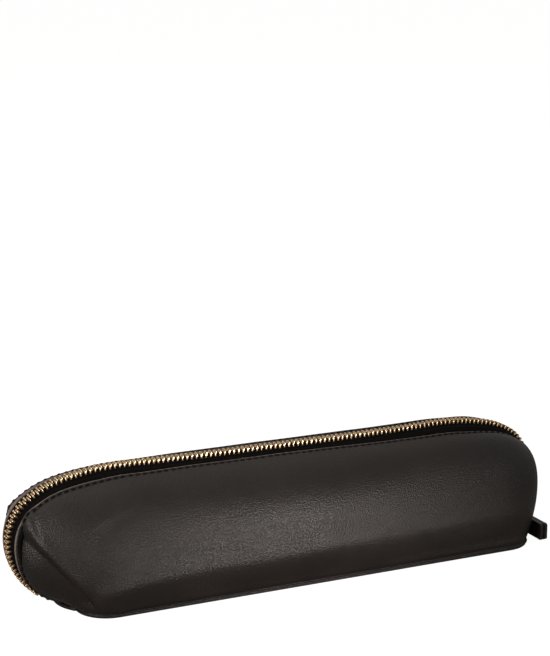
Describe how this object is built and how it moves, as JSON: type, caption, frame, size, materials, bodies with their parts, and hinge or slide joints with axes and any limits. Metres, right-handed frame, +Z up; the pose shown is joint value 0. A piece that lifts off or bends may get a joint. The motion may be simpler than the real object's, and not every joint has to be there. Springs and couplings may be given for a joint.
{
  "type": "zipped pen case",
  "caption": "Long arched leather pen case on a flat boxed base, closed by a metal zip that runs from end to end over the top, with a ring and leather pull.",
  "frame": {"origin": "middle of the flat base's underside, on the surface that the case stands on", "axes": "+X along the case toward the slider's end, -Y toward the front with the leather pull, +Z up; the zip lies in the plane y = 0"},
  "size_m": [0.2312, 0.0594, 0.0536],
  "materials": {
    "leather": "smooth black leather, fine grain",
    "strap_leather": "smooth black leather with inked edges",
    "lining_cloth": "matt woven lining",
    "board": "stiffening board, matt",
    "zip_tape": "ribbed black zip tape",
    "thread": "waxed black thread",
    "zip_metal": "polished pale gold",
    "slider_metal": "polished pale gold"
  },
  "bodies": {
    "case_body": {"base_panel": "leather", "base_board": "board", "base_lining": "lining_cloth", "nose_welt": "leather", "tail_welt": "leather", "bottom_stop": "zip_metal", "front_top_stop": "zip_metal", "back_top_stop": "zip_metal"},
    "front_side": {"front_panel": "leather", "front_lining": "lining_cloth", "front_edge_stitching": "thread", "front_tape": "zip_tape", "front_teeth": "zip_metal"},
    "back_side": {"back_panel": "leather", "back_lining": "lining_cloth", "back_edge_stitching": "thread", "back_tape": "zip_tape", "back_teeth": "zip_metal"},
    "slider": {"slider_body": "slider_metal", "slider_bail": "slider_metal"},
    "ring": {"pull_ring": "slider_metal"},
    "strap": {"pull_strap": "strap_leather", "pull_stitching": "thread"}
  },
  "joints": [
    {"name": "mouth_front", "type": "hinge", "parent": "case_body", "child": "front_side", "pos_m": [0, -0.0243, 0.0014], "axis": [1, 0, 0], "range_deg": [0, 24], "stiffness_Nm_per_rad": 0.02, "deforming": ["front_tape", "front_teeth"]},
    {"name": "mouth_back", "type": "hinge", "parent": "case_body", "child": "back_side", "pos_m": [0, 0.0243, 0.0014], "axis": [1, 0, 0], "range_deg": [-24, 0], "stiffness_Nm_per_rad": 0.02, "deforming": ["back_tape", "back_teeth"]},
    {"name": "slider_travel", "type": "hinge", "parent": "case_body", "child": "slider", "pos_m": [0.07434, 0, 0.02648], "axis": [0, -1, 0], "range_deg": [0, 37]},
    {"name": "ring_swing", "type": "hinge", "parent": "slider", "child": "ring", "pos_m": [0.10501, 0, 0.00861], "axis": [0, -1, 0], "range_deg": [-4, 75]},
    {"name": "strap_swing", "type": "hinge", "parent": "ring", "child": "strap", "pos_m": [0.10501, -0.0034, 0.00521], "axis": [0, 0, 1], "range_deg": [-4, 65]}
  ],
  "couplings": [
    {"joint": "mouth_back", "follows": "mouth_front", "ratio": -1}
  ]
}
